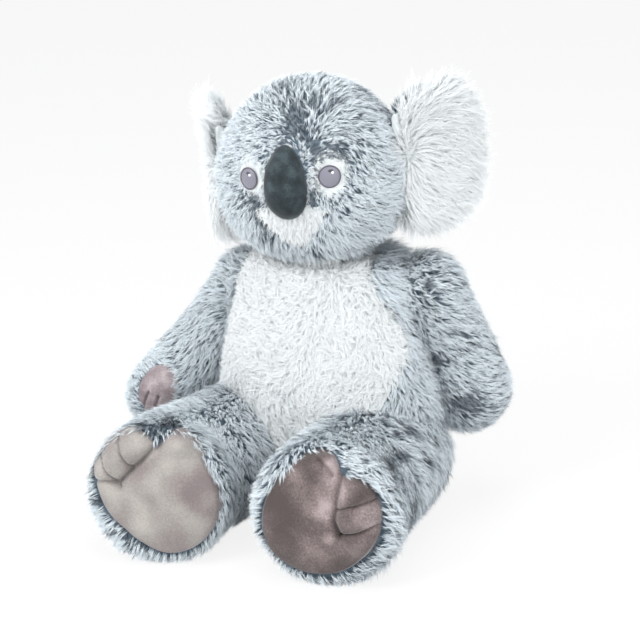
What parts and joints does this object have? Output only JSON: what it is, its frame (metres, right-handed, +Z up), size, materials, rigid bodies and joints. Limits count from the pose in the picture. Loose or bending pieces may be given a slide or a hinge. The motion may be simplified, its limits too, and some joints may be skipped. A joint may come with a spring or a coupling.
{
  "type": "plush koala toy",
  "caption": "Seated plush koala with long grey pile, a white belly and ears, a padded nose, and limbs and ears that swing at their seams.",
  "frame": {"origin": "on the floor, under the middle of the seated toy's box", "axes": "+Z up, the toy faces -Y and its left side is +X"},
  "size_m": [0.4582, 0.3838, 0.5275],
  "materials": {
    "grey_pile": "long frosted pile",
    "white_pile": "long white pile",
    "plush_pad": "short velvety pile",
    "velour": "short velour",
    "eye_thread": "satin embroidery",
    "filling": "loose fibre"
  },
  "bodies": {
    "torso": {"torso_cover": "grey_pile", "belly_panel": "white_pile", "torso_filling": "filling"},
    "neck": {"neck_filling": "filling"},
    "head": {"head_cover": "grey_pile", "muzzle_panel": "white_pile", "head_filling": "filling", "nose": "velour", "eye_patch_left": "white_pile", "eye_patch_right": "white_pile", "eye_left": "eye_thread", "eye_right": "eye_thread"},
    "ear_left": {"ear_back_left": "grey_pile", "ear_front_left": "white_pile"},
    "ear_right": {"ear_back_right": "grey_pile", "ear_front_right": "white_pile"},
    "arm_left": {"arm_cover_left": "grey_pile", "paw_pad_left": "plush_pad", "arm_filling_left": "filling"},
    "arm_right": {"arm_cover_right": "grey_pile", "paw_pad_right": "plush_pad", "arm_filling_right": "filling"},
    "leg_left": {"leg_cover_left": "grey_pile", "foot_sole_left": "plush_pad", "leg_filling_left": "filling"},
    "leg_right": {"leg_cover_right": "grey_pile", "foot_sole_right": "plush_pad", "leg_filling_right": "filling"}
  },
  "joints": [
    {"name": "head_turn", "type": "hinge", "parent": "torso", "child": "neck", "pos_m": [0.0242, 0.07856, 0.33], "axis": [0, 0, 1], "range_deg": [-30, 30]},
    {"name": "head_nod", "type": "hinge", "parent": "neck", "child": "head", "pos_m": [0.0242, 0.07856, 0.33], "axis": [0.9903, 0.1392, 0], "range_deg": [-8, 10]},
    {"name": "ear_left_fold", "type": "hinge", "parent": "head", "child": "ear_left", "pos_m": [0.12105, 0.06995, 0.43787], "axis": [-0.0691, -0.0097, 0.9976], "range_deg": [-15, 15], "stiffness_Nm_per_rad": 0.4},
    {"name": "ear_right_fold", "type": "hinge", "parent": "head", "child": "ear_right", "pos_m": [-0.07999, 0.0417, 0.41666], "axis": [-0.0691, -0.0097, 0.9976], "range_deg": [-15, 15], "stiffness_Nm_per_rad": 0.4},
    {"name": "arm_left_swing", "type": "hinge", "parent": "torso", "child": "arm_left", "pos_m": [0.13059, 0.08906, 0.276], "axis": [0.9565, 0.1859, 0.225], "range_deg": [-95, 16]},
    {"name": "arm_right_swing", "type": "hinge", "parent": "torso", "child": "arm_right", "pos_m": [-0.07678, 0.11306, 0.25], "axis": [0.9565, -0.1859, -0.225], "range_deg": [-52, 60]},
    {"name": "leg_left_swing", "type": "hinge", "parent": "torso", "child": "leg_left", "pos_m": [0.1057, 0.05706, 0.0795], "axis": [0.9994, 0.0349, 0], "range_deg": [-10, 25]},
    {"name": "leg_right_swing", "type": "hinge", "parent": "torso", "child": "leg_right", "pos_m": [-0.0583, 0.03306, 0.0795], "axis": [0.9744, -0.225, 0], "range_deg": [-10, 25]}
  ]
}
